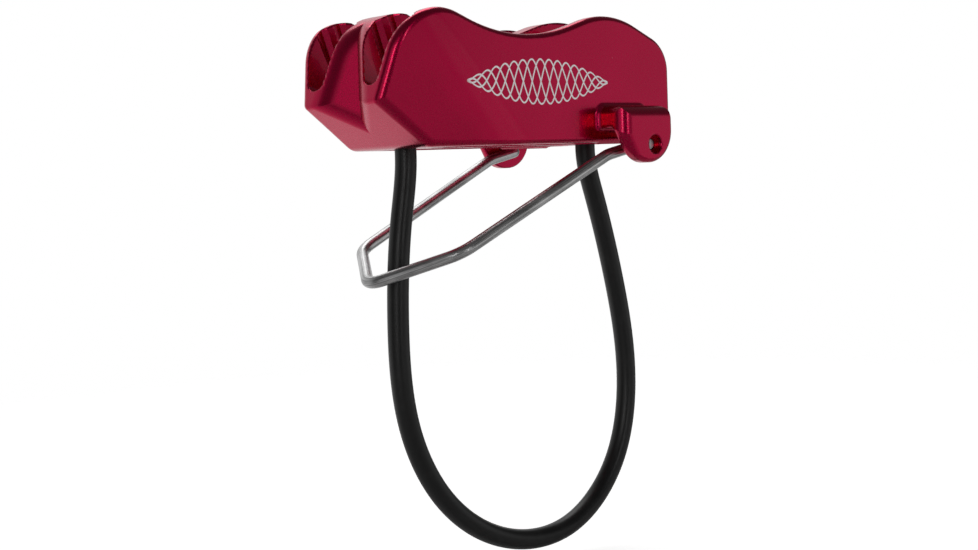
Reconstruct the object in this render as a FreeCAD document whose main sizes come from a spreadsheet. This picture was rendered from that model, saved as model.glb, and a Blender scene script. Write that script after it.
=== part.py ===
import FreeCAD, Part
import math
import os

import Sketcher

V = FreeCAD.Vector

# A two-slot belay device. +X points to the pivot ears at the rear, +Z up, Y across the device.
# The origin lies on the plane of symmetry, on the flat underside of the body. Millimetres, degrees.
SIZES = {
    # side view of the body: corners of the outline before they are rounded
    "nose_x": -39.5,
    "rear_x": 39.9,
    "nose_low": 9.0,
    "chamfer_x": -27.5,
    "front_peak_x": -34.2,
    "front_peak": 31.05,
    "saddle_x": -5.4,
    "saddle_low": 20.0,
    "rear_peak_x": 21.4,
    "rear_peak": 28.6,
    "rear_corner": 20.8,
    "front_hump": 11.7,
    "saddle_round": 42.0,
    "rear_hump": 23.5,
    "rear_round": 8.0,
    "heel_round": 2.5,
    "body_width": 34.0,
    # rope slots, given for the side at positive y
    "plate_inner": 14.4,
    "plate_slope": 0.1903,
    "bend_low": -10.6,
    "bend_high": -37.4,
    "web_half": 2.3,
    "stem_half": 4.1,
    "stem_rear": -18.5,
    "stem_fade": -14.5,
    "stem_low": -22.5,
    "stem_high": -38.5,
    "stem_flare": 0.35,
    "stem_round": 3.0,
    "slot_rear": 31.0,
    "slot_tip": -43.0,
    "slot_foot": -36.5,
    "slot_top": 28.0,
    "slot_plate_round": 5.0,
    "slot_web_round": 7.0,
    "lip_x": -36.2,
    "lip_high": 12.5,
    "lip_round": 1.5,
    "floor_foot": -20.2,
    # outside taper of the plates towards the nose, as a plane
    "taper_turn": -10.77,
    "taper_lean": 10.14,
    "taper_offset": 18.757,
    # valley between the two noses
    "valley_root": -34.1,
    "valley_half": 8.6,
    "valley_front": -41.0,
    "valley_round": 1.2,
    # friction grooves in the walls of the slot fronts
    "groove_low": -23.5,
    "groove_high": -32.7,
    "groove_ramp": 2.4,
    "groove_back": 1.0,
    "groove_depth": 1.0,
    "groove_pitch": 5.1,
    # rope run-out over the rear wall
    "notch_middle": 8.35,
    "notch_half": 4.2,
    "notch_floor": 15.0,
    "notch_round": 4.0,
    # pivot ears
    "ear_outer": 24.4,
    "ear_inner": 21.5,
    "ear_left": 16.3,
    "ear_right": 32.1,
    "ear_top": 7.6,
    "ear_shoulder": 2.6,
    "ear_heel": 20.4,
    "ear_bottom": -4.7,
    "ear_round": 7.0,
    "ear_corner": 2.0,
    "shoulder_round": 1.2,
    "arm_roof": 3.0,
    "pivot_x": 26.2,
    "pivot_high": -0.8,
    "pivot_play": 0.05,
    "pivot_sink": 2.0,
    "pivot_sink_deep": 1.5,
    # wire bail
    "wire_dia": 2.5,
    "pin_end": 22.9,
    "arm_offset": 19.2,
    "elbow_x": 16.9,
    "elbow_high": -2.7,
    "elbow_offset": 18.9,
    "knee_x": -23.15,
    "knee_high": -21.1,
    "knee_offset": 16.6,
    "tip_x": -34.2,
    "tip_high": -27.1,
    "pin_round": 2.2,
    "elbow_round": 9.0,
    "knee_round": 6.5,
    "tip_round": 4.0,
    # keeper cable
    "front_leg": -23.1,
    "rear_leg": 29.4,
    "mouth": -1.0,
    "sheath_dia": 4.5,
    "sheath_bore": 3.15,
    "sheath_hole": 4.7,
    "sheath_deep": 8.0,
    "rope_hole": 3.4,
    "stop_dia": 5.4,
    "stop_hole": 5.7,
    "stop_bore": 3.15,
    "stop_long": 6.0,
    "stop_chamfer": 0.4,
    "front_seat": 18.5,
    "rear_seat": 17.5,
    "rope_stub": 0.5,
    "centre_strand": 0.92,
    "outer_strand": 0.92,
    "strand_circle": 1.02,
    # rounded edges
    "plate_edge": 1.25,
    "ear_edge": 1.2,
    # how far a cutting shape reaches past what it cuts
    "margin": 3.0,
}

# The hanging loop between the mouths of its two holes, in the plane of symmetry: x, z
LOOP = [(-24.9, -14.0), (-27.0, -36.0), (-25.2, -57.5), (-17.0, -73.8), (0.5, -86.0),
        (20.9, -86.5), (35.6, -74.4), (40.6, -56.0), (37.7, -32.5), (31.8, -11.5)]

STRANDS = 6
GROOVES = 3


def make_sheet(doc):
    sheet = doc.addObject("Spreadsheet::Sheet", "Dims")
    for row, (alias, value) in enumerate(SIZES.items(), 1):
        sheet.set(f"A{row}", alias)
        sheet.set(f"B{row}", str(value))
        sheet.setAlias(f"B{row}", alias)
    doc.recompute()
    return sheet


def new_body(doc, name):
    body = doc.addObject("PartDesign::Body", name)
    body.Label = name
    return body


def origin_plane(body, role):
    return next(item for item in body.Origin.OriginFeatures if item.Role == role)


def sketch_on(body, role, name, offset=None):
    """A sketch on one of the body's own planes, moved along its normal by an expression."""
    sketch = body.newObject("Sketcher::SketchObject", name)
    sketch.AttachmentSupport = [(origin_plane(body, role), "")]
    sketch.MapMode = "FlatFace"
    if offset:
        sketch.setExpression("AttachmentOffset.Base.z", offset)
    return sketch


def number(item, expression):
    """The present value of an expression in the sizes of the sheet."""
    value = item.evalExpression(expression)
    return float(getattr(value, "Value", value))


def bind(sketch, constraint, expression):
    index = sketch.addConstraint(constraint)
    sketch.setExpression(f"Constraints[{index}]", expression)


def outline(sketch, corners):
    """Close a line through the corners (x, y, radius), all expressions; radius 0 stays sharp."""
    points = [V(number(sketch, x), number(sketch, y), 0) for x, y, _ in corners]
    radii = [number(sketch, radius) for _, _, radius in corners]
    count = len(corners)
    starts, ends, arcs = [], [], []
    for i, corner in enumerate(points):
        back = (points[i - 1] - corner).normalize()
        ahead = (points[(i + 1) % count] - corner).normalize()
        half = back.getAngle(ahead) / 2
        reach = radii[i] / math.tan(half)
        starts.append(corner + back * reach)
        ends.append(corner + ahead * reach)
        centre = corner + (back + ahead).normalize() * (radii[i] / math.sin(half))
        arcs.append((centre, back.cross(ahead).z > 0))
    lines = [
        sketch.addGeometry(Part.LineSegment(ends[i], starts[(i + 1) % count]), False)
        for i in range(count)
    ]
    for i, (x, y, radius) in enumerate(corners):
        line_in, line_out = lines[i - 1], lines[i]
        if radii[i]:
            centre, clockwise = arcs[i]
            arc, first, last = rounded_corner(sketch, centre, radii[i], starts[i], ends[i], clockwise)
            sketch.addConstraint(Sketcher.Constraint("Tangent", line_in, 2, arc, first))
            sketch.addConstraint(Sketcher.Constraint("Tangent", arc, last, line_out, 1))
            bind(sketch, Sketcher.Constraint("Radius", arc, radii[i]), radius)
            anchor = sketch.addGeometry(Part.Point(points[i]), True)
            sketch.addConstraint(Sketcher.Constraint("PointOnObject", anchor, 1, line_in))
            sketch.addConstraint(Sketcher.Constraint("PointOnObject", anchor, 1, line_out))
        else:
            sketch.addConstraint(Sketcher.Constraint("Coincident", line_in, 2, line_out, 1))
            anchor = line_out
        bind(sketch, Sketcher.Constraint("DistanceX", anchor, 1, points[i].x), x)
        bind(sketch, Sketcher.Constraint("DistanceY", anchor, 1, points[i].y), y)


def rounded_corner(sketch, centre, radius, start, end, clockwise):
    """Add an arc from start to end; also returns which of its own ends those two are."""
    circle = Part.Circle(centre, V(0, 0, 1), radius)
    first, last = (end, start) if clockwise else (start, end)
    arc = Part.ArcOfCircle(circle, circle.parameter(first), circle.parameter(last))
    index = sketch.addGeometry(arc, False)
    return (index, 2, 1) if clockwise else (index, 1, 2)


def ring(sketch, x, y, diameter):
    """A full circle at an expression's place and size."""
    place = V(number(sketch, x), number(sketch, y), 0)
    size = number(sketch, diameter)
    index = sketch.addGeometry(Part.Circle(place, V(0, 0, 1), size / 2), False)
    bind(sketch, Sketcher.Constraint("Diameter", index, size), diameter)
    bind(sketch, Sketcher.Constraint("DistanceX", index, 3, place.x), x)
    bind(sketch, Sketcher.Constraint("DistanceY", index, 3, place.y), y)


def extrude(body, kind, name, sketch, length=None, midplane=False, reverse=False):
    """A Pad or Pocket; with no length it runs right through."""
    feature = body.newObject(f"PartDesign::{kind}", name)
    feature.Profile = sketch
    if length:
        feature.setExpression("Length", length)
    else:
        feature.Type = "ThroughAll"
    feature.Midplane = midplane
    feature.Reversed = reverse
    return feature


def mirrored(body, name, originals):
    """Repeat features across the plane of symmetry."""
    body.Document.recompute()
    mirror = body.newObject("PartDesign::Mirrored", name)
    mirror.Originals = originals
    mirror.MirrorPlane = (origin_plane(body, "XZ_Plane"), [""])
    body.Tip = mirror
    body.Document.recompute()
    return mirror


def rim(shape, beyond):
    """Names of the edges that bound the sideways faces further out than a distance."""
    sideways = math.cos(math.radians(18))
    sides = [
        face for face in shape.Faces
        if abs(face.normalAt(0, 0).y) > sideways and abs(face.CenterOfMass.y) > beyond
    ]
    names = []
    for i, edge in enumerate(shape.Edges, 1):
        touching = sum(any(edge.isSame(other) for other in face.Edges) for face in sides)
        if touching == 1 and not edge.isClosed():
            names.append(f"Edge{i}")
    return names


def round_rim(body, name, radius, beyond):
    """Round the outline of the body's outward faces."""
    body.Document.recompute()
    base = body.Tip
    feature = body.newObject("PartDesign::Fillet", name)
    feature.Base = (base, rim(base.Shape, number(body, beyond)))
    feature.setExpression("Radius", radius)
    body.Document.recompute()


def add_block(body):
    """The side view, wavy on top and chamfered at the front, across the full width."""
    side = sketch_on(body, "XZ_Plane", "side_view")
    outline(side, [
        ("Dims.chamfer_x", "0", "0"),
        ("Dims.rear_x", "0", "Dims.heel_round"),
        ("Dims.rear_x", "Dims.rear_corner", "Dims.rear_round"),
        ("Dims.rear_peak_x", "Dims.rear_peak", "Dims.rear_hump"),
        ("Dims.saddle_x", "Dims.saddle_low", "Dims.saddle_round"),
        ("Dims.front_peak_x", "Dims.front_peak", "Dims.front_hump"),
        ("Dims.nose_x", "Dims.nose_low", "0"),
    ])
    extrude(body, "Pad", "block", side, "Dims.body_width", midplane=True)


def slot_section(body, name, height, bend, stem_front, tip):
    """One level of a rope slot, for the side at positive y."""
    section = sketch_on(body, "XY_Plane", name, height)
    outline(section, [
        ("Dims.slot_rear", "Dims.plate_inner", "Dims.slot_plate_round"),
        (bend, "Dims.plate_inner", "0"),
        (tip, f"Dims.plate_inner - Dims.plate_slope * ({bend} - {tip})", "0"),
        (tip, f"Dims.stem_half + Dims.stem_flare * ({stem_front} - {tip})", "0"),
        (stem_front, "Dims.stem_half", "Dims.stem_round"),
        ("Dims.stem_rear", "Dims.stem_half", "Dims.stem_round"),
        ("Dims.stem_fade", "Dims.web_half", "Dims.stem_round"),
        ("Dims.slot_rear", "Dims.web_half", "Dims.slot_web_round"),
    ])
    return section


def loft(core, name, low, high):
    """A straight-sided solid between two levels."""
    core.Document.recompute()
    feature = core.newObject("PartDesign::AdditiveLoft", name)
    feature.Profile = low
    feature.Sections = [high]
    feature.Ruled = True
    return feature


def slot_room(core):
    """The slot's room from top to bottom; in front both of its walls lean, so that it is a V."""
    low = slot_section(core, "slot_low", None, "Dims.bend_low", "Dims.stem_low", "Dims.slot_foot")
    high = slot_section(core, "slot_high", "Dims.slot_top", "Dims.bend_high", "Dims.stem_high",
                        "Dims.slot_tip")
    return loft(core, "slot_room", low, high)


def slot_floor(core):
    """Cut the room back to a slanted floor, so a front wall is left below the nose's lip."""
    floor = sketch_on(core, "XZ_Plane", "floor_view")
    outline(floor, [
        ("Dims.floor_foot", "0", "0"),
        ("Dims.lip_x", "Dims.lip_high", "Dims.lip_round"),
        ("Dims.slot_tip - Dims.margin", "Dims.lip_high", "0"),
        ("Dims.slot_tip - Dims.margin", "-Dims.margin", "0"),
        ("Dims.floor_foot", "-Dims.margin", "0"),
    ])
    return extrude(core, "Pocket", "slot_floor", floor, midplane=True)


def cut_taper(body):
    """Planes that thin the device towards the nose, leaning inwards at the foot."""
    plane = sketch_on(body, "XZ_Plane", "taper_plane", "Dims.taper_offset")
    plane.setExpression("AttachmentOffset.Rotation.Pitch", "Dims.taper_turn")
    plane.setExpression("AttachmentOffset.Rotation.Roll", "Dims.taper_lean")
    outline(plane, [
        ("-2 * Dims.rear_x", "-Dims.rear_x", "0"),
        ("2 * Dims.rear_x", "-Dims.rear_x", "0"),
        ("2 * Dims.rear_x", "2 * Dims.rear_x", "0"),
        ("-2 * Dims.rear_x", "2 * Dims.rear_x", "0"),
    ])
    taper = extrude(body, "Pocket", "taper", plane, reverse=True)
    mirrored(body, "tapers", [taper])


def cut_valley(body):
    """The upright V between the two noses."""
    valley = sketch_on(body, "XY_Plane", "valley_view")
    outline(valley, [
        ("Dims.valley_root", "0", "Dims.valley_round"),
        ("Dims.valley_front", "Dims.valley_half", "0"),
        ("Dims.valley_front", "-Dims.valley_half", "0"),
    ])
    extrude(body, "Pocket", "valley", valley, midplane=True)


def groove_section(core, name, height, x, wall, depth, room):
    """A sawtooth that reaches past a wall of the room; its back stays inside the room."""
    section = sketch_on(core, "XY_Plane", name, height)
    outline(section, [
        (f"{x} - Dims.groove_ramp", wall, "0"),
        (x, f"{wall} + {depth}", "0"),
        (f"{x} + Dims.groove_back", wall, "0"),
        (f"{x} + Dims.groove_back", f"{wall} + {room}", "0"),
        (f"{x} - Dims.groove_ramp", f"{wall} + {room}", "0"),
    ])
    return section


def grooves(core):
    """Leaning ridges on both sides of the room's front, which leave friction grooves in the walls."""
    ridges = []
    for i in range(GROOVES):
        low_x, high_x = [
            f"({start} + {i} * Dims.groove_pitch)" for start in ("Dims.groove_low", "Dims.groove_high")
        ]
        plate_low = f"(Dims.plate_inner - Dims.plate_slope * (Dims.bend_low - {low_x}))"
        for side, wall_low, wall_high, depth, room in [
            ("stem", "Dims.stem_half", "Dims.stem_half", "-Dims.groove_depth", "2 * Dims.groove_depth"),
            ("plate", plate_low, "Dims.plate_inner", "Dims.groove_depth", "-2 * Dims.groove_depth"),
        ]:
            low = groove_section(core, f"{side}_groove_low_{i}", None, low_x, wall_low, depth, room)
            high = groove_section(core, f"{side}_groove_high_{i}", "Dims.slot_top", high_x, wall_high,
                                  depth, room)
            ridges.append(loft(core, f"{side}_groove_{i}", low, high))
    return ridges


def make_slot_cores(doc):
    """The two solids that fill the rope slots, cut from the body as one step."""
    core = new_body(doc, "slot_cores")
    core.AllowCompound = True
    features = [slot_room(core)] + grooves(core) + [slot_floor(core)]
    mirrored(core, "slot_pair", features)
    return core


def cut_slots(body, cores):
    body.Document.recompute()
    slots = body.newObject("PartDesign::Boolean", "slots")
    slots.Type = "Cut"
    slots.Group = [cores]
    body.Tip = slots
    body.Document.recompute()


def cut_run_outs(body):
    """A round-bottomed notch behind each slot, where the rope leaves over the rear wall."""
    view = sketch_on(body, "YZ_Plane", "run_out_view", "Dims.slot_rear - Dims.slot_web_round / 2")
    outline(view, [
        ("Dims.notch_middle - Dims.notch_half", "Dims.notch_floor", "Dims.notch_round"),
        ("Dims.notch_middle + Dims.notch_half", "Dims.notch_floor", "Dims.notch_round"),
        ("Dims.notch_middle + Dims.notch_half", "Dims.slot_top", "0"),
        ("Dims.notch_middle - Dims.notch_half", "Dims.slot_top", "0"),
    ])
    run_out = extrude(body, "Pocket", "run_out", view, reverse=True)
    mirrored(body, "run_outs", [run_out])


def add_ears(body):
    """Ears that carry the bail: a boss on each plate, hollow underneath for the wire's arm."""
    view = sketch_on(body, "XZ_Plane", "ear_view", "Dims.body_width / 2")
    outline(view, [
        ("Dims.ear_left", "Dims.ear_top", "Dims.ear_corner"),
        ("Dims.ear_left", "Dims.ear_shoulder", "Dims.shoulder_round"),
        ("Dims.ear_heel", "Dims.ear_bottom", "Dims.ear_round"),
        ("Dims.ear_right", "Dims.ear_bottom", "Dims.ear_round"),
        ("Dims.ear_right", "Dims.ear_top", "Dims.ear_corner"),
    ])
    ear = extrude(body, "Pad", "ear", view, "Dims.ear_outer - Dims.body_width / 2")

    gap = sketch_on(body, "XZ_Plane", "arm_gap_view", "Dims.body_width / 2")
    outline(gap, [
        ("Dims.ear_left - Dims.margin", "Dims.arm_roof", "0"),
        ("Dims.ear_left - Dims.margin", "Dims.ear_bottom - Dims.margin", "0"),
        ("Dims.ear_right + Dims.margin", "Dims.ear_bottom - Dims.margin", "0"),
        ("Dims.ear_right + Dims.margin", "Dims.arm_roof", "0"),
    ])
    arm_gap = extrude(body, "Pocket", "arm_gap", gap, "Dims.ear_inner - Dims.body_width / 2", reverse=True)

    bore = sketch_on(body, "XZ_Plane", "pivot_view", "Dims.body_width / 2")
    ring(bore, "Dims.pivot_x", "Dims.pivot_high", "Dims.wire_dia + 2 * Dims.pivot_play")
    pivot = extrude(body, "Pocket", "pivot_hole", bore, reverse=True)

    mouth = sketch_on(body, "XZ_Plane", "pivot_sink_view", "Dims.ear_outer - Dims.pivot_sink_deep")
    ring(mouth, "Dims.pivot_x", "Dims.pivot_high", "2 * Dims.pivot_sink")
    sink = extrude(body, "Pocket", "pivot_sink", mouth, reverse=True)
    mirrored(body, "ears", [ear, arm_gap, pivot, sink])


def cut_cable_hole(body, name, leg, seat):
    """A stepped upright hole: cover below, bare rope in the middle, swaged stop on top."""
    for step, diameter, height, depth in [
        ("cover", "Dims.sheath_hole", None, "Dims.sheath_deep"),
        ("rope", "Dims.rope_hole", None, seat),
        ("stop", "Dims.stop_hole", seat, "Dims.slot_top"),
    ]:
        view = sketch_on(body, "XY_Plane", f"{name}_{step}_view", height)
        ring(view, leg, "0", diameter)
        extrude(body, "Pocket", f"{name}_{step}", view, depth, reverse=True)


def make_device_body(doc):
    body = new_body(doc, "body")
    add_block(body)
    cut_taper(body)
    cut_valley(body)
    round_rim(body, "plate_rims", "Dims.plate_edge", "Dims.plate_inner")
    cut_slots(body, make_slot_cores(doc))
    cut_run_outs(body)
    add_ears(body)
    round_rim(body, "ear_rims", "Dims.ear_edge", "(Dims.ear_inner + Dims.ear_outer) / 2")
    cut_cable_hole(body, "front_hole", "Dims.front_leg", "Dims.front_seat")
    cut_cable_hole(body, "rear_hole", "Dims.rear_leg", "Dims.rear_seat")
    return body


def rounded_path(corners):
    """An open line through corners (point, radius), with an arc at each corner between the ends."""
    edges = []
    start = corners[0][0]
    for (before, _), (corner, radius), (after, _) in zip(corners, corners[1:], corners[2:]):
        back = (before - corner).normalize()
        ahead = (after - corner).normalize()
        half = back.getAngle(ahead) / 2
        first = corner + back * (radius / math.tan(half))
        last = corner + ahead * (radius / math.tan(half))
        middle = corner + (back + ahead).normalize() * (radius / math.sin(half) - radius)
        edges.append(Part.makeLine(start, first))
        edges.append(Part.Arc(first, middle, last).toShape())
        start = last
    edges.append(Part.makeLine(start, corners[-1][0]))
    return Part.Wire(edges)


def bail_corners(size):
    """Corners of the wire from the pin in one ear, round the pointed end, to the other ear."""
    half = [
        (V(size.pivot_x, size.pin_end, size.pivot_high), 0),
        (V(size.pivot_x, size.arm_offset, size.pivot_high), size.pin_round),
        (V(size.elbow_x, size.elbow_offset, size.elbow_high), size.elbow_round),
        (V(size.knee_x, size.knee_offset, size.knee_high), size.knee_round),
    ]
    far_half = [(V(point.x, -point.y, point.z), radius) for point, radius in reversed(half)]
    return half + [(V(size.tip_x, 0, size.tip_high), size.tip_round)] + far_half


def smooth_curve(points):
    """A curve through points that leaves the first straight down and ends straight up."""
    curve = Part.BSplineCurve()
    curve.interpolate(Points=points, InitialTangent=V(0, 0, -1), FinalTangent=V(0, 0, 1))
    return curve


def loop_path(size, front_top, rear_top, side=0, inward=0):
    """The cable's centre line, straight up into both holes with a smooth hanging loop between,
    or a line that runs beside it at a steady distance."""
    front = V(size.front_leg, 0, size.mouth)
    rear = V(size.rear_leg, 0, size.mouth)
    points = [front] + [V(x, 0, z) for x, z in LOOP] + [rear]
    middle = smooth_curve(points)
    beside = []
    for point in points:
        heading = middle.tangent(middle.parameter(point))[0]
        beside.append(point + heading.cross(V(0, inward, 0)) + V(0, side, 0))
    front, rear = beside[0], beside[-1]
    return Part.Wire([
        Part.makeLine(V(front.x, side, front_top), front),
        smooth_curve(beside).toShape(),
        Part.makeLine(rear, V(rear.x, side, rear_top)),
    ])


def path_feature(doc, name, wire):
    path = doc.addObject("Part::Feature", name)
    path.Shape = wire
    return path


def sweep(doc, name, path, diameter):
    """A round bar along a path; its diameter is an expression."""
    start = path.Shape.OrderedVertexes[0].Point
    heading = path.Shape.OrderedEdges[0].tangentAt(path.Shape.OrderedEdges[0].FirstParameter)
    section = doc.addObject("Part::Circle", f"{name}_section")
    section.setExpression("Radius", f"({diameter}) / 2")
    section.Placement = FreeCAD.Placement(start, FreeCAD.Rotation(V(0, 0, 1), heading))
    bar = doc.addObject("Part::Sweep", name)
    bar.Sections = [section]
    bar.Spine = (path, [f"Edge{i}" for i in range(1, len(path.Shape.Edges) + 1)])
    bar.Solid = True
    bar.Frenet = False
    return bar


def make_bail(doc, size):
    path = path_feature(doc, "bail_path", rounded_path(bail_corners(size)))
    bail = sweep(doc, "wire_bail", path, "Dims.wire_dia")
    bail.Label = "wire_bail"
    return bail


def make_sheath(doc, size):
    """The smooth plastic cover, a tube from one hole of the body to the other."""
    top = size.sheath_deep
    path = path_feature(doc, "sheath_path", loop_path(size, top, top))
    sheath = doc.addObject("Part::Cut", "keeper_sheath")
    sheath.Base = sweep(doc, "sheath_outside", path, "Dims.sheath_dia")
    sheath.Tool = sweep(doc, "sheath_inside", path, "Dims.sheath_bore")
    sheath.Label = "keeper_sheath"
    return sheath


def rope_tops(size):
    """How high the rope's two ends stand, just proud of their stops."""
    return [seat + size.stop_long + size.rope_stub for seat in (size.front_seat, size.rear_seat)]


def make_centre_strand(doc, size):
    path = path_feature(doc, "rope_path", loop_path(size, *rope_tops(size)))
    strand = sweep(doc, "cable_centre_strand", path, "Dims.centre_strand")
    strand.Label = "cable_centre_strand"
    return strand


def make_outer_strands(doc, size):
    """Six strands around the centre one; they run beside it, without the rope's twist."""
    strands = []
    for i in range(STRANDS):
        angle = 2 * math.pi * i / STRANDS
        side = size.strand_circle * math.cos(angle)
        inward = size.strand_circle * math.sin(angle)
        line = loop_path(size, *rope_tops(size), side, inward)
        path = path_feature(doc, f"strand_path_{i}", line)
        strands.append(sweep(doc, f"outer_strand_{i}", path, "Dims.outer_strand"))
    group = doc.addObject("Part::Compound", "cable_outer_strands")
    group.Links = strands
    group.Label = "cable_outer_strands"
    return group


def make_stop(doc, name, leg, seat):
    """A swaged steel ring round the rope's end, sitting on the step inside its hole."""
    body = new_body(doc, name)
    view = sketch_on(body, "XY_Plane", f"{name}_view")
    ring(view, "0", "0", "Dims.stop_dia")
    ring(view, "0", "0", "Dims.stop_bore")
    blank = extrude(body, "Pad", f"{name}_blank", view, "Dims.stop_long")
    doc.recompute()
    chamfer = body.newObject("PartDesign::Chamfer", f"{name}_chamfer")
    rims = [f"Edge{i}" for i, edge in enumerate(blank.Shape.Edges, 1) if is_outer_rim(edge, blank.Shape)]
    chamfer.Base = (blank, rims)
    chamfer.setExpression("Size", "Dims.stop_chamfer")
    body.setExpression("Placement.Base.x", leg)
    body.setExpression("Placement.Base.z", seat)
    return body


def is_outer_rim(edge, shape):
    """True for a full circle as wide as the shape."""
    box = shape.BoundBox
    return edge.isClosed() and abs(edge.BoundBox.XLength - box.XLength) < 1e-3


class Sizes:
    """The sheet's values as plain numbers, for the paths."""

    def __init__(self, sheet):
        for name in SIZES:
            setattr(self, name, sheet.get(name))


def check(doc, parts):
    """Stop before anything is written if a feature failed or a part is not sound."""
    failed = [obj.Name for obj in doc.Objects if {"Invalid", "Error"} & set(obj.State)]
    unsound = [part.Label for part in parts if part.Shape.isNull() or not part.Shape.isValid()]
    if failed or unsound:
        raise RuntimeError(f"failed features {failed}, unsound parts {unsound}")


def main():
    doc = FreeCAD.newDocument("belay_device")
    size = Sizes(make_sheet(doc))
    parts = [
        make_device_body(doc),
        make_bail(doc, size),
        make_sheath(doc, size),
        make_centre_strand(doc, size),
        make_outer_strands(doc, size),
        make_stop(doc, "front_cable_stop", "Dims.front_leg", "Dims.front_seat"),
        make_stop(doc, "rear_cable_stop", "Dims.rear_leg", "Dims.rear_seat"),
    ]
    doc.recompute()
    check(doc, parts)
    os.makedirs("parts", exist_ok=True)
    for part in parts:
        part.Shape.exportStep(f"parts/{part.Label}.step")
        print(part.Label, round(part.Shape.Volume, 1), len(part.Shape.Solids))


main()
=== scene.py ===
import math

import bpy
import numpy as np
from mathutils import Matrix, Vector


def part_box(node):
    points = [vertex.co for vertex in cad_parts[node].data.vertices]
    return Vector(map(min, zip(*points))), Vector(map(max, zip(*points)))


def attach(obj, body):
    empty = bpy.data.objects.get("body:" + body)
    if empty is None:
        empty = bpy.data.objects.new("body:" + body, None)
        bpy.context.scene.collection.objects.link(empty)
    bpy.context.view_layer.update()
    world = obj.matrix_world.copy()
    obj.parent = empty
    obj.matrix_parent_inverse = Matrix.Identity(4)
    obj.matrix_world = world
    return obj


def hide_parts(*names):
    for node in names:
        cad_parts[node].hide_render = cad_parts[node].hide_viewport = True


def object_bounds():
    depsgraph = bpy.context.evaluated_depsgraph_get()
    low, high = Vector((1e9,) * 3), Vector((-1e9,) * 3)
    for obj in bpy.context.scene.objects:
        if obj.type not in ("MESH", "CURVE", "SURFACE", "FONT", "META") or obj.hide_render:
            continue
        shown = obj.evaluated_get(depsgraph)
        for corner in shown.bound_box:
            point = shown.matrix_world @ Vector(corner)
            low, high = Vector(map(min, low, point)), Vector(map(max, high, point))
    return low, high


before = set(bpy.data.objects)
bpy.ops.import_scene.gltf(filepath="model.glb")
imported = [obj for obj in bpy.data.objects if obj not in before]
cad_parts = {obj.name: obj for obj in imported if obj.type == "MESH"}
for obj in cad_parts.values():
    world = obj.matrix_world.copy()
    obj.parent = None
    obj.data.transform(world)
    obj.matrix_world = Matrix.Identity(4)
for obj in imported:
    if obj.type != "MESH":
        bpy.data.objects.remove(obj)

cad_low, cad_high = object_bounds()

MM = 0.001  # the shapes below are written in millimetres, the scene is in metres

# ---------------------------------------------------------------- driving sizes, millimetres
# Side view of the body, the corners of the outline before rounding: x, z, radius
SIDE_VIEW = [
    (-27.5, 0.0, 4.0), (39.9, 0.0, 2.5), (39.9, 20.8, 8.0), (21.4, 28.6, 23.5),
    (-5.4, 20.0, 42.0), (-34.2, 31.05, 11.7), (-39.5, 9.0, 1.2),
]
# Rope slot seen from above, on the side of positive y, open at the front: x, y, radius
SLOT_VIEW = [
    (31.0, 2.3, 7.0), (31.0, 14.4, 5.0), (-48.0, 14.4, 0.5),
    (-48.0, 4.1, 0.5), (-18.5, 4.1, 4.0), (-14.5, 2.3, 4.0),
]
SLOT_CORNER_ROUND = 1.0
SLOT_FLOOR_ROUND = 1.8
SLOT_EDGE_ROUND = 0.3
# Pivot ear seen from the side: x, z, radius
EAR_VIEW = [
    (16.3, 7.6, 2.0), (16.3, 2.6, 1.2), (20.4, -4.7, 7.0), (32.1, -4.7, 7.0), (32.1, 7.6, 3.0),
]
BODY_HALF = 17.0
# Tapered fronts of the two plates: their outward normal, and the reach of both faces along it
TAPER = (-0.184, 0.967, -0.176)
TAPER_OUTER = 18.139
TAPER_INNER = 15.881
TAPER_BLEND = 1.4
# Leaning face of the web at the slots' mouths: its normal, into the web, and its reach along that
STEM_WALL = (-0.325, -0.928, -0.186)
STEM_REACH = 3.52
# Outer edges, rounder at the nose
EDGE_ROUND = 1.25
NOSE_SOFTENING = 0.5
NOSE_LONG = 15.0
# Valley between the two noses: its x on the middle plane, and its spread in y over x
VALLEY_ROOT = -34.1
VALLEY_SLOPE = 1.25
VALLEY_ROUND = 2.0
# Floor of the slots' mouths: a ramp up from its foot on the underside, then a level lip
RAMP_FOOT = -20.2
RAMP_SLOPE = 0.783
LIP_HIGH = 12.5
LIP_ROUND = 2.5
# Friction grooves, a sawtooth with its long side towards the nose
GROOVES = 3
GROOVE_FIRST = -23.5  # x of the first groove's root at the height of the underside
GROOVE_LEAN = 0.3286  # x over z
GROOVE_PITCH = 5.1
GROOVE_RAMP = 2.4
GROOVE_BACK = 1.0
GROOVE_DEPTH = 1.0
# Run-out of the rope over the rear wall
NOTCH_START = 27.0
NOTCH_MIDDLE = 8.35
NOTCH_HALF = 4.2
NOTCH_FLOOR = 15.0
NOTCH_FLOOR_ROUND = 0.95 * NOTCH_HALF
NOTCH_EDGE_ROUND = 1.0
# Ears, from inside the plate outwards in y, with a gap below the roof for the wire's arm
EAR_ROOT = 15.5
EAR_CLEAR = 20.0  # from here outwards an ear hangs below the body's underside
EAR_INNER = 21.5
EAR_OUTER = 24.4
EAR_ROUND = 1.2
EAR_TOP_ROUND = 2.9
EAR_FOOT_ROUND = 2.0
EAR_FILLET = 1.2
BOSS_ROUND = 3.0
ARM_ROOF = 3.0
ARM_ROOF_ROUND = 0.8
ARM_EDGE_ROUND = 0.4
# Pivot hole: x, z, radius, and the wider sink on the outside with its floor in y
PIVOT = (26.2, -0.8)
PIVOT_BORE = 1.3
PIVOT_SINK = 2.0
PIVOT_SINK_FLOOR = 22.9
PIVOT_EDGE_ROUND = 0.25
# Cable holes: x and height of the stop's seat, then the radii for cover, rope and stop
LEGS = {"front": (-23.1, 18.5), "rear": (29.4, 17.5)}
COVER_HOLE = 2.35
COVER_HOLE_HIGH = 8.0
ROPE_HOLE = 1.7
STOP_HOLE = 2.85
HOLE_EDGE_ROUND = 0.35

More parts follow.
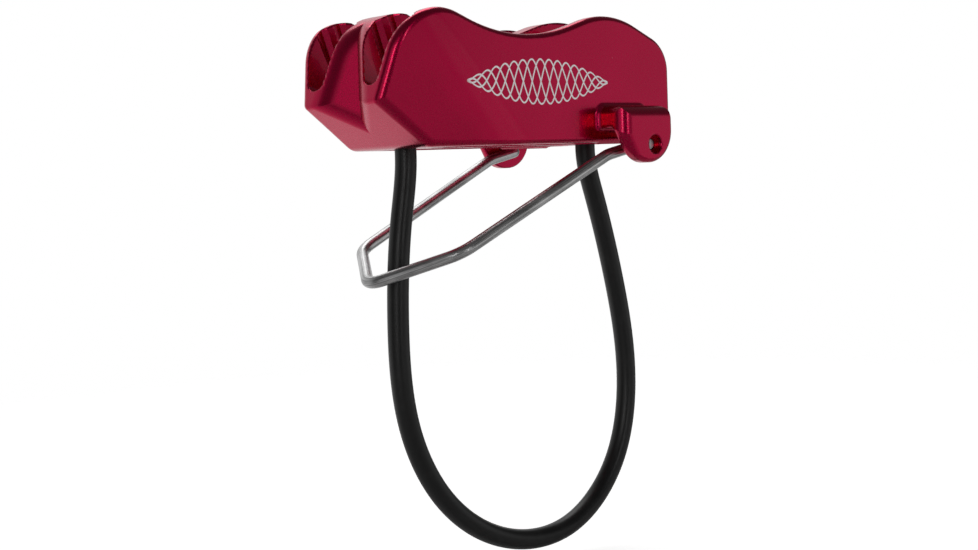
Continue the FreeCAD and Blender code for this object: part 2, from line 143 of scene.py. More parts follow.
# Wire bail, half of it: x, y, z, radius of the bend
BAIL = [
    (26.2, 22.9, -0.8, 0), (26.2, 19.2, -0.8, 2.2), (16.9, 18.9, -2.7, 9.0),
    (-23.15, 16.6, -21.1, 6.5), (-34.2, 0.0, -27.1, 4.0),
]
WIRE_RADIUS = 1.25
WIRE_STEP = 0.5
# Hanging loop of the keeper cable between the mouths of its holes: x, z
LOOP = [
    (-24.9, -14.0), (-27.0, -36.0), (-25.2, -57.5), (-17.0, -73.8), (0.5, -86.0),
    (20.9, -86.5), (35.6, -74.4), (40.6, -56.0), (37.7, -32.5), (31.8, -11.5),
]
MOUTH = -1.0  # height at which the cable leaves the holes
COVER_RADIUS = 2.25
COVER_BORE = 1.575
COVER_STEP = 0.8
# Marking on the near plate: a braid of waves in a lens shape
MARK_X = -0.2
MARK_Z = 12.8
MARK_HALF_LONG = 20.0
MARK_HALF_HIGH = 4.6
MARK_WAVES = 4
MARK_LINES = 4
MARK_LINE = 0.17  # half the width of a line
MARK_SOFT = 0.25  # how soft its sides are, as a part of that

CELL = 0.4  # grid of the body's mesh


# ---------------------------------------------------------------- distance fields
# Every field is negative inside the metal. They take arrays of x, y, z in millimetres.

def round_and(a, b, radius):
    """Where both hold, with the edge between them rounded."""
    u, v = np.maximum(radius + a, 0), np.maximum(radius + b, 0)
    return np.minimum(-radius, np.maximum(a, b)) + np.hypot(u, v)


def round_or(a, b, radius):
    """Where either holds, with the corner between them filled."""
    return -round_and(-a, -b, radius)


def round_not(a, b, radius):
    """a without b, with the new edge rounded."""
    return round_and(a, -b, radius)


def length_one(v):
    return v / np.linalg.norm(v)


class Outline:
    """A closed outline of lines and tangent arcs, drawn anticlockwise."""

    def __init__(self, corners):
        points = [np.array(c[:2], float) for c in corners]
        count = len(points)
        self.arcs, starts, ends = [], [], []
        for i, (corner, (_, _, radius)) in enumerate(zip(points, corners)):
            back = length_one(points[i - 1] - corner)
            ahead = length_one(points[(i + 1) % count] - corner)
            half = math.acos(np.clip(back @ ahead, -1, 1)) / 2
            start = corner + back * radius / math.tan(half)
            end = corner + ahead * radius / math.tan(half)
            centre = corner + length_one(back + ahead) * radius / math.sin(half)
            turn = 1.0 if ahead[0] * back[1] - ahead[1] * back[0] > 0 else -1.0
            self.arcs.append((centre, radius, start - centre, end - centre, turn))
            starts.append(start)
            ends.append(end)
        self.lines = [(ends[i], starts[(i + 1) % count]) for i in range(count)]

    def distance(self, x, y):
        """Distance to the outline, negative inside."""
        best = np.full(np.broadcast(x, y).shape, np.inf)
        for first, last in self.lines:
            along = last - first
            length = np.hypot(*along)
            along = along / length
            dx, dy = x - first[0], y - first[1]
            t = np.clip(dx * along[0] + dy * along[1], 0, length)
            gap = np.hypot(dx - t * along[0], dy - t * along[1])
            side = np.where(dx * along[1] - dy * along[0] > 0, gap, -gap)
            best = np.where(gap < np.abs(best), side, best)
        for centre, radius, start, end, turn in self.arcs:
            dx, dy = x - centre[0], y - centre[1]
            after = turn * (start[0] * dy - start[1] * dx) >= 0
            before = turn * (dx * end[1] - dy * end[0]) >= 0
            side = turn * (np.hypot(dx, dy) - radius)
            best = np.where(after & before & (np.abs(side) < np.abs(best)), side, best)
        return best


SIDE = Outline(SIDE_VIEW)
SLOT = Outline(SLOT_VIEW)
EAR = Outline(EAR_VIEW)


def grooves(x, z):
    """Depth of the friction grooves along the slot fronts."""
    depth = 0.0
    for i in range(GROOVES):
        middle = GROOVE_FIRST + i * GROOVE_PITCH - GROOVE_LEAN * z
        ramp = 1 - (middle - x) / GROOVE_RAMP
        back = 1 - (x - middle) / GROOVE_BACK
        depth = depth + GROOVE_DEPTH * np.clip(np.minimum(ramp, back), 0, 1)
    return depth


def plane(x, y, z, normal, reach):
    return normal[0] * x + normal[1] * y + normal[2] * z - reach


def slot_field(x, y, z):
    """One rope slot: straight walls behind, a V in front, and a slanted floor up to the lip."""
    depth = grooves(x, z)
    upright = SLOT.distance(x, y) - depth
    stem = plane(x, y, z, STEM_WALL, STEM_REACH) - depth
    plate = plane(x, y, z, TAPER, TAPER_INNER) - depth
    walls = np.maximum(round_and(upright, stem, SLOT_CORNER_ROUND), plate)
    above_ramp = -(z + RAMP_SLOPE * (x - RAMP_FOOT)) / math.hypot(1, RAMP_SLOPE)
    above_floor = round_or(above_ramp, LIP_HIGH - z, LIP_ROUND)
    return round_and(walls, above_floor, SLOT_FLOOR_ROUND)


def run_out_field(x, y, z):
    """The notch where the rope leaves over the rear wall."""
    side = np.abs(y - NOTCH_MIDDLE) - NOTCH_HALF
    return np.maximum(round_and(side, NOTCH_FLOOR - z, NOTCH_FLOOR_ROUND), NOTCH_START - x)


def hole_field(x, y, z, leg, seat):
    """A stepped cable hole: cover below, rope through, stop on its seat above."""
    across = np.hypot(x - leg, y)
    cover = np.maximum(across - COVER_HOLE, z - COVER_HOLE_HIGH)
    stop = np.maximum(across - STOP_HOLE, seat - z)
    return np.minimum(np.minimum(cover, stop), across - ROPE_HOLE)


def ear_field(x, y, z):
    """Boss and ear on the outside of a plate, hollow below for the wire's arm."""
    outward = y - EAR_OUTER
    ear = round_and(EAR.distance(x, z), outward, EAR_ROUND)
    (left, top, _), (_, shoulder, _), (heel, bottom, _) = EAR_VIEW[:3]
    slope = length_one(np.array([bottom - shoulder, left - heel]))
    foot = slope[0] * (x - left) + slope[1] * (z - shoulder)
    for side, radius in ((left - x, BOSS_ROUND), (z - top, EAR_TOP_ROUND), (foot, EAR_FOOT_ROUND)):
        ear = np.maximum(ear, round_and(side, outward, radius))
    ear = np.maximum(ear, EAR_ROOT - y)
    gap_middle = (EAR_INNER + EAR_ROOT) / 2
    gap = round_and(np.abs(y - gap_middle) - (EAR_INNER - gap_middle), z - ARM_ROOF, ARM_ROOF_ROUND)
    ear = round_not(ear, gap, ARM_EDGE_ROUND)
    return np.where(y < EAR_CLEAR, np.maximum(ear, -z), ear)


def body_field(x, y, z):
    """The whole forged body."""
    y = np.abs(y)
    taper = plane(x, y, z, TAPER, TAPER_OUTER)
    sides = round_and(y - BODY_HALF, taper, TAPER_BLEND)
    edge = EDGE_ROUND + NOSE_SOFTENING * np.clip((RAMP_FOOT - x) / NOSE_LONG, 0, 1)
    metal = round_and(SIDE.distance(x, z), sides, edge)
    valley = (y - VALLEY_SLOPE * (VALLEY_ROOT - x)) / math.hypot(1, VALLEY_SLOPE)
    metal = round_not(metal, valley, VALLEY_ROUND)
    metal = round_not(metal, slot_field(x, y, z), SLOT_EDGE_ROUND)
    metal = round_not(metal, run_out_field(x, y, z), NOTCH_EDGE_ROUND)
    metal = round_or(metal, ear_field(x, y, z), EAR_FILLET)
    pivot = np.hypot(x - PIVOT[0], z - PIVOT[1])
    bore = np.maximum(pivot - PIVOT_BORE, EAR_CLEAR - y)
    sink = np.maximum(pivot - PIVOT_SINK, PIVOT_SINK_FLOOR - y)
    metal = round_not(metal, np.minimum(bore, sink), PIVOT_EDGE_ROUND)
    for leg, seat in LEGS.values():
        metal = round_not(metal, hole_field(x, y, z, leg, seat), HOLE_EDGE_ROUND)
    return metal


# ---------------------------------------------------------------- from field to mesh

def gradient(points, field, step=0.01):
    """The field at the points, and its uphill direction there."""
    here = field(*points.T)
    slope = np.empty_like(points)
    for k in range(3):
        ahead = points.copy()
        ahead[:, k] += step
        slope[:, k] = field(*ahead.T) - here
    slope /= np.maximum(np.linalg.norm(slope, axis=1), 1e-9)[:, None]
    return here, slope


def crossings(values, start, cell, field):
    """For each axis: the grid edges that cross the surface, with the surface's point and normal."""
    found = []
    for axis in range(3):
        ahead = np.eye(3)[axis]
        size = values.shape[axis]
        a = np.take(values, range(size - 1), axis)
        b = np.take(values, range(1, size), axis)
        index = np.argwhere((a < 0) != (b < 0))
        first, last = a[tuple(index.T)], b[tuple(index.T)]
        part = first / (first - last)
        points = start + (index + part[:, None] * ahead) * cell
        away, normals = gradient(points, field)
        points = points - normals * np.clip(away, -cell, cell)[:, None]
        found.append((axis, index, first < 0, points, normals))
    return found


def around(index, axis):
    """The four cells round a grid edge, in order."""
    b, c = [k for k in range(3) if k != axis]
    ring = []
    for back_b, back_c in ((1, 1), (0, 1), (0, 0), (1, 0)):
        cells = index.copy()
        cells[:, b] -= back_b
        cells[:, c] -= back_c
        ring.append(cells)
    return ring


def mirrored_grid(field, low, high, cell):
    """The field on a grid from low to high and across y = 0, and the grid's first point."""
    axes = [np.arange(lo, hi + cell, cell) for lo, hi in zip(low, high)]
    half = field(axes[0][:, None, None], axes[1][None, :, None], axes[2][None, None, :])
    values = np.concatenate([half[:, :0:-1], half], axis=1)
    return values, np.array([low[0], -axes[1][-1], low[2]])


def best_corners(number, points, normals, calm=0.03):
    """For every numbered cell, the point that lies best on the planes found there. The planes
    of a flat surface do not hold it sideways; a slight pull to their middle does."""
    count = np.bincount(number)
    middle = np.stack([np.bincount(number, points[:, k]) for k in range(3)], axis=1) / count[:, None]
    reach = ((points - middle[number]) * normals).sum(axis=1)
    square = np.empty((len(count), 3, 3))
    pull = np.empty((len(count), 3))
    for i in range(3):
        pull[:, i] = np.bincount(number, normals[:, i] * reach)
        for j in range(3):
            square[:, i, j] = np.bincount(number, normals[:, i] * normals[:, j])
    square += calm * np.eye(3)
    return middle + np.linalg.solve(square, pull[:, :, None])[:, :, 0]


def field_mesh(name, field, low, high, cell):
    """A mesh of a field's surface that keeps its edges: a point in every cell that the surface
    crosses, and a face over every grid edge that it crosses. It stays inside the box."""
    margin = 2.6 * cell  # a rim of empty cells round the box
    grid_low = np.array([low[0] - margin, 0, low[2] - margin])
    values, start = mirrored_grid(field, grid_low, high + margin, cell)
    found = crossings(values, start, cell, field)
    rings = []
    for axis, index, *_ in found:
        rings += [np.ravel_multi_index(cells.T, values.shape) for cells in around(index, axis)]
    cells, number = np.unique(np.concatenate(rings), return_inverse=True)
    points = np.concatenate([np.tile(place, (4, 1)) for _, _, _, place, _ in found])
    normals = np.concatenate([np.tile(normal, (4, 1)) for _, _, _, _, normal in found])
    corner = best_corners(number, points, normals)
    centre = start + (np.stack(np.unravel_index(cells, values.shape), axis=1) + 0.5) * cell
    corner = centre + np.clip(corner - centre, -cell / 2, cell / 2)
    corner = np.clip(corner, low, high)
    faces, used = [], 0
    for axis, index, first_inside, _, _ in found:
        quads = number[used:used + 4 * len(index)].reshape(4, -1).T
        used += 4 * len(index)
        turn = first_inside != (axis == 1)
        faces.append(np.where(turn[:, None], quads, quads[:, ::-1]))
    return mesh_object(name, corner, np.concatenate(faces), field)


def link(name, data):
    """A new object in the scene for a mesh, a camera or a light."""
    thing = bpy.data.objects.new(name, data)
    bpy.context.scene.collection.objects.link(thing)
    return thing


def mesh_object(name, corner, faces, field, inset=0.3):
    """An object of the mesh; every face corner gets the field's own normal just inside that face."""
    mesh = bpy.data.meshes.new(name)
    mesh.vertices.add(len(corner))
    mesh.vertices.foreach_set("co", (corner * MM).ravel())
    mesh.loops.add(faces.size)
    mesh.loops.foreach_set("vertex_index", faces.ravel())
    mesh.polygons.add(len(faces))
    mesh.polygons.foreach_set("loop_start", np.arange(0, faces.size, 4))
    mesh.update(calc_edges=True)
    mesh.shade_smooth()
    spots = corner[faces]
    spots = spots + inset * (spots.mean(axis=1, keepdims=True) - spots)
    _, normals = gradient(spots.reshape(-1, 3), field)
    mesh.normals_split_custom_set(normals.tolist())
    return link(name, mesh)


def make_body():
    """The forged body, kept inside the CAD body's box."""
    low, high = (np.array(corner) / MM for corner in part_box("body"))
    return field_mesh("forged_body", body_field, low, high, CELL)


# ---------------------------------------------------------------- wire and cable

NOT_ALONG = (0.31, 0.2, 0.93)  # any direction in which no line starts
END_SIZE = 0.82                # a bar's end face and its rounding, as parts of the bar's radius
END_ROUND = 0.3
SHARP_FROM = math.radians(50)  # edges that bend more are shaded as sharp


def distances(line):
    """How far along the line each of its points is."""
    return np.concatenate([[0], np.cumsum(np.linalg.norm(np.diff(line, axis=0), axis=1))])


def rounded_line(corners, arc_steps=14):
    """Points along a line through corners (x, y, z, radius), with an arc at each."""
    points = [np.array(corners[0][:3], float)]
    for before, (*here, radius), after in zip(corners, corners[1:], corners[2:]):
        here = np.array(here, float)
        back = length_one(np.array(before[:3]) - here)
        ahead = length_one(np.array(after[:3]) - here)
        half = math.acos(np.clip(back @ ahead, -1, 1)) / 2
        inward = length_one(back + ahead)
        centre = here + inward * radius / math.sin(half)
        across = length_one(ahead - back)
        sweep = math.pi / 2 - half
        for angle in np.linspace(-sweep, sweep, arc_steps):
            points.append(centre + radius * (across * math.sin(angle) - inward * math.cos(angle)))
    points.append(np.array(corners[-1][:3], float))
    return np.array(points)


def spline(points, first_slope, last_slope, steps=12):
    """A smooth curve through points with a given heading at both ends."""
    gaps = np.linalg.norm(np.diff(points, axis=0), axis=1)
    count = len(points)
    matrix, wanted = np.eye(count), np.empty_like(points)
    wanted[0], wanted[-1] = first_slope, last_slope
    for i in range(1, count - 1):
        before, after = gaps[i - 1], gaps[i]
        matrix[i, i - 1:i + 2] = after, 2 * (before + after), before
        wanted[i] = 3 * (after * (points[i] - points[i - 1]) / before
                         + before * (points[i + 1] - points[i]) / after)
    slopes = np.linalg.solve(matrix, wanted)
    curve = []
    for i, gap in enumerate(gaps):
        for t in np.linspace(0, 1, steps, endpoint=False):
            curve.append((1 + 2 * t) * (1 - t) ** 2 * points[i] + t * (1 - t) ** 2 * gap * slopes[i]
                         + t * t * (3 - 2 * t) * points[i + 1] + t * t * (t - 1) * gap * slopes[i + 1])
    curve.append(points[-1])
    return np.array(curve)


def evenly(line, step):
    """The same line, with points at steady distances and the ends kept."""
    along = distances(line)
    wanted = np.linspace(0, along[-1], int(along[-1] / step) + 1)
    return np.stack([np.interp(wanted, along, line[:, k]) for k in range(3)], axis=1)


def cross_frames(line):
    """Two directions across the line at each point, carried along without twist."""
    heading = np.gradient(line, axis=0)
    heading /= np.linalg.norm(heading, axis=1)[:, None]
    side = np.cross(heading[0], NOT_ALONG)
    sides = []
    for ahead in heading:
        side = length_one(side - (side @ ahead) * ahead)
        sides.append(side)
    sides = np.array(sides)
    return sides, np.cross(heading, sides)


def tube(name, line, radius, bore=0.0, sides=40):
    """A round bar along a line, or a pipe if it has a bore; u runs along it, v round it."""
    across, upward = cross_frames(line)
    angles = np.arange(sides)[:, None] * 2 * math.pi / sides
    along = distances(line)
    last = len(line) - 1
    outside = [(k, radius) for k in range(last + 1)]
    if bore:
        stations = outside + [(k, bore) for k in range(last, -1, -1)]
    else:
        stations = [(0, END_SIZE * radius)] + outside + [(last, END_SIZE * radius)]
    rings = []
    for k, size in stations:
        rings.append(line[k] + size * (np.cos(angles) * across[k] + np.sin(angles) * upward[k]))
    if not bore:
        rings[1] += END_ROUND * radius * length_one(line[1] - line[0])
        rings[-2] += END_ROUND * radius * length_one(line[-2] - line[-1])
    faces, uvs = [], []
    count = len(stations)
    for i in range(count if bore else count - 1):
        after = (i + 1) % count
        u0, u1 = along[stations[i][0]], along[stations[after][0]]
        for j in range(sides):
            other = (j + 1) % sides
            faces.append((i * sides + j, i * sides + other, after * sides + other, after * sides + j))
            v0, v1 = j / sides, (j + 1) / sides
            uvs += [(u0, v0), (u0, v1), (u1, v1), (u1, v0)]
    if not bore:
        faces.append(tuple(range(sides - 1, -1, -1)))
        faces.append(tuple((count - 1) * sides + j for j in range(sides)))
        uvs += [(0, 0)] * sides + [(along[-1], 0)] * sides
    mesh = bpy.data.meshes.new(name)
    mesh.from_pydata((np.concatenate(rings) * MM).tolist(), [], faces)
    layer = mesh.uv_layers.new(name="along_and_round")
    layer.data.foreach_set("uv", np.array(uvs, float).ravel())
    mesh.shade_smooth()
    mesh.set_sharp_from_angle(angle=SHARP_FROM)
    return link(name, mesh)


def make_bail():
    """The bent steel wire from the pin in one ear, round its pointed end, to the other ear."""
    far_half = [(x, -y, z, radius) for x, y, z, radius in reversed(BAIL[:-1])]
    line = evenly(rounded_line(BAIL + far_half), WIRE_STEP)
    return tube("bent_wire_bail", line, WIRE_RADIUS)


def make_cover():
    """The plastic cover of the keeper cable, hanging from the two holes in the body."""
    front, rear = LEGS["front"][0], LEGS["rear"][0]
    points = [(front, MOUTH)] + LOOP + [(rear, MOUTH)]
    points = np.array([(x, 0, z) for x, z in points], float)
    hanging = spline(points, np.array([0, 0, -1.0]), np.array([0, 0, 1.0]))
    line = np.concatenate([[(front, 0, COVER_HOLE_HIGH)], hanging, [(rear, 0, COVER_HOLE_HIGH)]])
    return tube("cable_cover", evenly(line, COVER_STEP), COVER_RADIUS, bore=COVER_BORE)


# ---------------------------------------------------------------- materials
# Noise scales are per metre, and colours are linear.

def feed(tree, value, socket):
    """Give an input a plain value or the output of another node."""
    if isinstance(value, bpy.types.NodeSocket):
        tree.links.new(value, socket)
    else:
        socket.default_value = value


class Graph:
    """Short names for building shader nodes. A value may be a number or another node's output."""

    def __init__(self, tree):
        self.tree = tree

    def put(self, kind, inputs=(), **settings):
        node = self.tree.nodes.new(kind)
        for name, value in settings.items():
            setattr(node, name, value)
        for key, value in dict(inputs).items():
            feed(self.tree, value, node.inputs[key])
        return node

    def math(self, operation, *values):
        return self.put("ShaderNodeMath", enumerate(values), operation=operation).outputs[0]

    def dot(self, vector, other):
        inputs = {0: vector, 1: other}
        return self.put("ShaderNodeVectorMath", inputs, operation="DOT_PRODUCT").outputs["Value"]

    def fade(self, value, start, end):
        """0 at start and before, 1 at end and beyond, smooth between; start may be the larger."""
        inputs = {"Value": value, "From Min": start, "From Max": end}
        return self.put("ShaderNodeMapRange", inputs, interpolation_type="SMOOTHSTEP").outputs[0]

    def scale(self, value, low, high):
        """0 to 1 becomes low to high."""
        inputs = {"Value": value, "To Min": low, "To Max": high}
        return self.put("ShaderNodeMapRange", inputs).outputs[0]

    def noise(self, place, scale, detail=2.0, stretch=(1, 1, 1)):
        moved = self.put("ShaderNodeMapping", {"Vector": place, "Scale": stretch}).outputs[0]
        inputs = {"Vector": moved, "Scale": scale, "Detail": detail}
        return self.put("ShaderNodeTexNoise", inputs).outputs["Fac"]

    def mix(self, factor, first, second):
        """Two colours mixed: the first where the factor is 0, the second where it is 1."""
        node = self.put("ShaderNodeMix", data_type="RGBA")
        for name, value in (("Factor", factor), ("A", first), ("B", second)):
            feed(self.tree, value, next(s for s in node.inputs if s.name == name and s.enabled))
        return next(s for s in node.outputs if s.enabled)


def new_material(name):
    """A material with its graph, its place on the object in metres, and its shader."""
    material = bpy.data.materials.new(name)
    material.use_nodes = True
    graph = Graph(material.node_tree)
    place = graph.put("ShaderNodeTexCoord").outputs["Object"]
    return material, graph, place, material.node_tree.nodes["Principled BSDF"]


def grey(level):
    return (level, level, level, 1)


def set_shader(graph, shader, **inputs):
    for name, value in inputs.items():
        feed(graph.tree, value, shader.inputs[name.replace("_", " ")])


def set_bump(graph, shader, height, depth):
    """Raise the surface by the height, 0 to 1, times the depth in metres."""
    bump = graph.put("ShaderNodeBump", {"Height": height, "Strength": 1.0, "Distance": depth})
    graph.tree.links.new(bump.outputs[0], shader.inputs["Normal"])


def marking(graph, place):
    """A plain braid of phase-shifted waves in a lens shape, on the near plate: 1 on its lines."""
    parts = graph.put("ShaderNodeSeparateXYZ", {0: place}).outputs
    x = graph.math("DIVIDE", graph.math("SUBTRACT", parts["X"], MARK_X * MM), MARK_HALF_LONG * MM)
    z = graph.math("DIVIDE", graph.math("SUBTRACT", parts["Z"], MARK_Z * MM), MARK_HALF_HIGH * MM)
    lens = graph.math("SUBTRACT", 1.0, graph.math("MULTIPLY", x, x))
    turn = graph.math("MULTIPLY", x, math.pi * MARK_WAVES)
    nearest = 1.0
    for i in range(MARK_LINES):
        angle = graph.math("ADD", turn, 2 * math.pi * i / MARK_LINES)
        height = graph.math("MULTIPLY", lens, graph.math("SINE", angle))
        steep = graph.math("MULTIPLY", lens, graph.math("COSINE", angle))
        steep = graph.math("MULTIPLY", steep, math.pi * MARK_WAVES * MARK_HALF_HIGH / MARK_HALF_LONG)
        length = graph.math("SQRT", graph.math("ADD", 1.0, graph.math("MULTIPLY", steep, steep)))
        gap = graph.math("DIVIDE", graph.math("ABSOLUTE", graph.math("SUBTRACT", z, height)), length)
        nearest = graph.math("MINIMUM", nearest, gap)
    line = MARK_LINE / MARK_HALF_HIGH
    drawn = graph.fade(nearest, line * (1 + MARK_SOFT), line * (1 - MARK_SOFT))
    inside = graph.fade(lens, 0.0, 0.02)
    below_face = graph.math("ADD", parts["Y"], BODY_HALF * MM)
    near_plate = graph.fade(below_face, 0.4 * MM, 0.2 * MM)
    return graph.math("MULTIPLY", graph.math("MULTIPLY", drawn, inside), near_plate)


def anodised():
    """Polished crimson anodising, with faint clouding, fine grain, rare flecks and the marking; the
    marking also glows a little by itself, as painted light.
    """
    material, graph, place, shader = new_material("crimson_anodising")
    deep, bright = (0.52, 0.0008, 0.05, 1), (0.62, 0.0012, 0.064, 1)
    fleck_color, mark_color = (0.75, 0.25, 0.35, 1), (0.86, 0.8, 0.82, 1)
    color = graph.mix(graph.noise(place, 70, 3), deep, bright)
    cells = graph.put("ShaderNodeTexVoronoi", {"Vector": place, "Scale": 420.0})
    rare = graph.fade(graph.dot(cells.outputs["Color"], (1, 0, 0)), 0.955, 0.965)
    fleck = graph.math("MULTIPLY", rare, graph.fade(cells.outputs["Distance"], 0.055, 0.03))
    color = graph.mix(graph.math("MULTIPLY", fleck, 0.55), color, fleck_color)
    print_and_glow = marking(graph, place)
    color = graph.mix(print_and_glow, color, mark_color)
    grain = graph.noise(place, 900, 4)
    rough = graph.math("ADD", graph.scale(grain, 0.24, 0.31), graph.math("MULTIPLY", print_and_glow, 0.25))
    # The marking's emission is painted light: it makes the white print glow a little by itself.
    set_shader(graph, shader, Base_Color=color, Roughness=rough, Coat_Weight=0.3, Coat_Roughness=0.06,
               Metallic=graph.math("SUBTRACT", 1.0, print_and_glow), Emission_Color=grey(1),
               Emission_Strength=graph.math("MULTIPLY", print_and_glow, 0.22))
    set_bump(graph, shader, graph.noise(place, 1500, 3), 0.000002)
    return material


def drawn_wire():
    """Drawn steel wire, with fine stripes along it and dull patches."""
    material, graph, place, shader = new_material("drawn_steel_wire")
    lengthwise = graph.put("ShaderNodeTexCoord").outputs["UV"]
    stripes = graph.noise(lengthwise, 1.0, 3, (0.05, 26, 1))
    patches = graph.noise(place, 160, 2)
    striped = graph.math("MULTIPLY", stripes, 0.7)
    shade = graph.math("ADD", striped, graph.math("MULTIPLY", patches, 0.3))
    color = graph.mix(graph.fade(shade, 0.35, 0.65), grey(0.3), grey(0.8))
    set_shader(graph, shader, Base_Color=color, Metallic=1.0, Roughness=graph.scale(patches, 0.26, 0.4))
    set_bump(graph, shader, stripes, 0.00003)
    return material


def cover_plastic():
    """Black extruded plastic with a satin skin, faint draw lines and scuffs."""
    material, graph, place, shader = new_material("black_cover_plastic")
    lengthwise = graph.put("ShaderNodeTexCoord").outputs["UV"]
    lines = graph.noise(lengthwise, 1.0, 3, (0.03, 34, 1))
    scuffs = graph.noise(place, 240, 4)
    color = graph.mix(graph.fade(scuffs, 0.5, 0.75), grey(0.004), grey(0.009))
    set_shader(graph, shader, Base_Color=color, Roughness=graph.scale(scuffs, 0.3, 0.45),
               Specular_IOR_Level=0.5)
    set_bump(graph, shader, graph.math("ADD", lines, graph.math("MULTIPLY", scuffs, 0.5)), 0.00002)
    return material


def strand_steel():
    """Bright rope strands of fine wires that run slanting round each strand, with painted shade in the
    grooves between the wires.
    """
    material, graph, place, shader = new_material("rope_strand_steel")
    lay = graph.dot(place, (9000, 0, 5200))
    wire_ridges_and_shade = graph.math("ABSOLUTE", graph.math("SINE", lay))
    # The grooves between the fine wires are painted dark as painted shade; the same pattern also raises
    # the wires in the bump.
    color = graph.mix(wire_ridges_and_shade, grey(0.12), (0.55, 0.55, 0.54, 1))
    rough = graph.scale(graph.noise(place, 900), 0.2, 0.4)
    set_shader(graph, shader, Base_Color=color, Metallic=1.0, Roughness=rough)
    set_bump(graph, shader, wire_ridges_and_shade, 0.00008)
    return material


def pressed_steel():
    """Turned and pressed steel of the rope's end stops."""
    material, graph, place, shader = new_material("pressed_stop_steel")
    turning = graph.noise(place, 1.0, 2, (150, 150, 9000))
    # Patches of lighter and darker tone, rougher where lighter.
    tone_patches = graph.noise(place, 420, 3)
    color = graph.mix(tone_patches, (0.36, 0.36, 0.37, 1), grey(0.62))
    set_shader(graph, shader, Base_Color=color, Metallic=1.0, Roughness=graph.scale(tone_patches, 0.22, 0.42))
    set_bump(graph, shader, turning, 0.00002)
    return material


def wear(thing, material):
    thing.data.materials.clear()
    thing.data.materials.append(material)


# ---------------------------------------------------------------- scene

def stand_in(piece, body, node, material):
    """A piece that rides on a body in place of a CAD node."""
    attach(piece, body)
    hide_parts(node)
    wear(piece, material)


CAMERA_PLACE = (-205.4, -229.8, -4.8)  # millimetres
CAMERA_TURN = (41.57, -4.25, 2.29)     # degrees: to the right of +Y, upwards, and rolled
CAMERA_LENS = 52.34                    # for a sensor 36 wide
CAMERA_CLIP = 0.01                     # metres


def add_camera():
    """The photograph's viewpoint: off the nose and the near side, level with the underside."""
    place = Vector(CAMERA_PLACE) * MM
    yaw, pitch, roll = (math.radians(angle) for angle in CAMERA_TURN)
    ahead = Vector((math.sin(yaw) * math.cos(pitch), math.cos(yaw) * math.cos(pitch), math.sin(pitch)))
    right = Vector((math.cos(yaw), -math.sin(yaw), 0))
    up = right.cross(ahead)
    right_rolled = right * math.cos(roll) - up * math.sin(roll)
    up_rolled = right * math.sin(roll) + up * math.cos(roll)
    turned = Matrix((right_rolled, up_rolled, -ahead)).transposed().to_4x4()
    camera = link("camera", bpy.data.cameras.new("camera"))
    camera.matrix_world = Matrix.Translation(place) @ turned
    camera.data.lens = CAMERA_LENS
    camera.data.sensor_width = 36
    camera.data.clip_start = CAMERA_CLIP
    bpy.context.scene.camera = camera


# What the metal reflects: soft cards round the object. Azimuth from -Y towards +X and elevation in
# degrees, half width, half height and softness as tangents, and how much light the card adds.
CARDS = [
    (180, 0, 1.8, 0.6, 0.8, 0.42),      # white backdrop behind the object
    (150, 0, 0.5, 0.5, 0.6, 0.2),       # its brighter middle
    (35, -9, 0.04, 0.2, 0.06, 0.45),    # strip seen along the bend of the plates
    (-4, 8, 0.04, 0.12, 0.06, 3.2),     # strip seen along the front edges and on the ears
    (-50, 8, 0.06, 0.12, 0.06, 3.2),
    (-66, 0, 0.2, 0.4, 0.2, 0.3),       # dim panel seen in the valley between the noses
    (14, -15, 0.22, 0.2, 0.2, 0.32),    # dim panel seen in the tapered plates
    (60, -3, 0.3, 0.3, 0.2, 0.44),      # even panel seen in the flat plates
]
ROOM_LIGHT = 0.09
# The floor in metres: how far below the loop, solid up to the near radius, gone at the far one
FLOOR_DROP = 0.003
FLOOR_NEAR = 0.15
FLOOR_FAR = 0.36
# How much the floor shines by itself, for the camera and for reflections behind the object
FLOOR_GLOW = 0.75
FLOOR_GLOW_MIRRORED = 0.42
LAMP_PLACE = (0.25, 0.45, 0.8)
LAMP_SIZE = 0.6
LAMP_POWER = 2.2


def card_light(graph, heading, azimuth, elevation, half_wide, half_high, soft, light):
    """The light that one card adds in a heading: its light inside, fading to none round it."""
    turn, tilt = math.radians(azimuth), math.radians(elevation)
    centre = (math.sin(turn) * math.cos(tilt), -math.cos(turn) * math.cos(tilt), math.sin(tilt))
    right = (math.cos(turn), math.sin(turn), 0)
    up = (-math.sin(turn) * math.sin(tilt), math.cos(turn) * math.sin(tilt), math.cos(tilt))
    ahead = graph.dot(heading, centre)
    safe = graph.math("MAXIMUM", ahead, 0.001)
    shown = graph.math("GREATER_THAN", ahead, 0.0)
    for direction, half in ((right, half_wide), (up, half_high)):
        away = graph.math("ABSOLUTE", graph.math("DIVIDE", graph.dot(heading, direction), safe))
        shown = graph.math("MULTIPLY", shown, graph.fade(away, half + soft, half))
    return graph.math("MULTIPLY", shown, light)


def add_room():
    """A world that is white to the camera, while the object is lit and mirrored by the cards."""
    world = bpy.data.worlds.new("studio")
    bpy.context.scene.world = world
    world.use_nodes = True
    graph = Graph(world.node_tree)
    heading = graph.put("ShaderNodeTexCoord").outputs["Generated"]
    light = ROOM_LIGHT
    for card in CARDS:
        light = graph.math("ADD", light, card_light(graph, heading, *card))
    seen = graph.put("ShaderNodeLightPath").outputs["Is Camera Ray"]
    background = world.node_tree.nodes["Background"]
    feed(world.node_tree, graph.mix(seen, light, grey(1)), background.inputs["Color"])


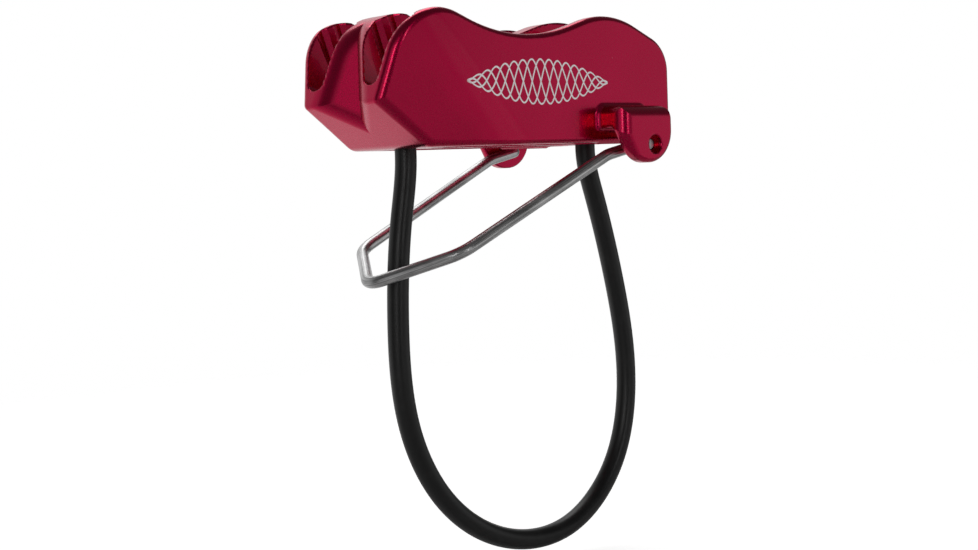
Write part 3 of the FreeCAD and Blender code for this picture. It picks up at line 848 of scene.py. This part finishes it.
def add_floor():
    """A pale plain floor just below the hanging loop, fading into the white room round it. It is
    clear from below."""
    bpy.ops.mesh.primitive_circle_add(vertices=96, radius=FLOOR_FAR, fill_type="NGON",
                                      location=(0, 0, cad_low[2] - FLOOR_DROP))
    floor = bpy.context.object
    floor.name = "floor"
    material, graph, place, shader = new_material("pale_floor")
    tone = graph.mix(graph.noise(place, 30, 3), grey(0.84), grey(0.86))
    distance = graph.put("ShaderNodeVectorMath", {0: place}, operation="LENGTH").outputs["Value"]
    seen = graph.put("ShaderNodeLightPath").outputs["Is Camera Ray"]
    behind = graph.fade(graph.put("ShaderNodeSeparateXYZ", {0: place}).outputs["Y"], 0.0, FLOOR_NEAR)
    mirrored = graph.math("MULTIPLY", behind, FLOOR_GLOW_MIRRORED)
    glow = graph.math("MAXIMUM", graph.math("MULTIPLY", seen, FLOOR_GLOW), mirrored)
    above = graph.math("SUBTRACT", 1.0, graph.put("ShaderNodeNewGeometry").outputs["Backfacing"])
    solid = graph.math("MULTIPLY", graph.fade(distance, FLOOR_FAR, FLOOR_NEAR), above)
    set_shader(graph, shader, Base_Color=tone, Roughness=0.9, Emission_Color=grey(1),
               Emission_Strength=glow, Alpha=solid)
    wear(floor, material)


def add_lamp():
    """One soft lamp above and behind, aimed at the object."""
    lamp = link("overhead", bpy.data.lights.new("overhead", "AREA"))
    lamp.data.size = LAMP_SIZE
    lamp.data.energy = LAMP_POWER
    lamp.location = LAMP_PLACE
    lamp.rotation_euler = (-Vector(LAMP_PLACE)).to_track_quat("-Z", "Y").to_euler()


stand_in(make_body(), "device", "body", anodised())
stand_in(make_bail(), "bail", "wire_bail", drawn_wire())
stand_in(make_cover(), "device", "keeper_sheath", cover_plastic())
strands = strand_steel()
for node in ("cable_centre_strand", "cable_outer_strands"):
    wear(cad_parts[node], strands)
stops = pressed_steel()
for node in ("front_cable_stop", "rear_cable_stop"):
    wear(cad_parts[node], stops)
add_camera()
add_room()
add_floor()
add_lamp()
bpy.context.scene.view_settings.view_transform = "Standard"
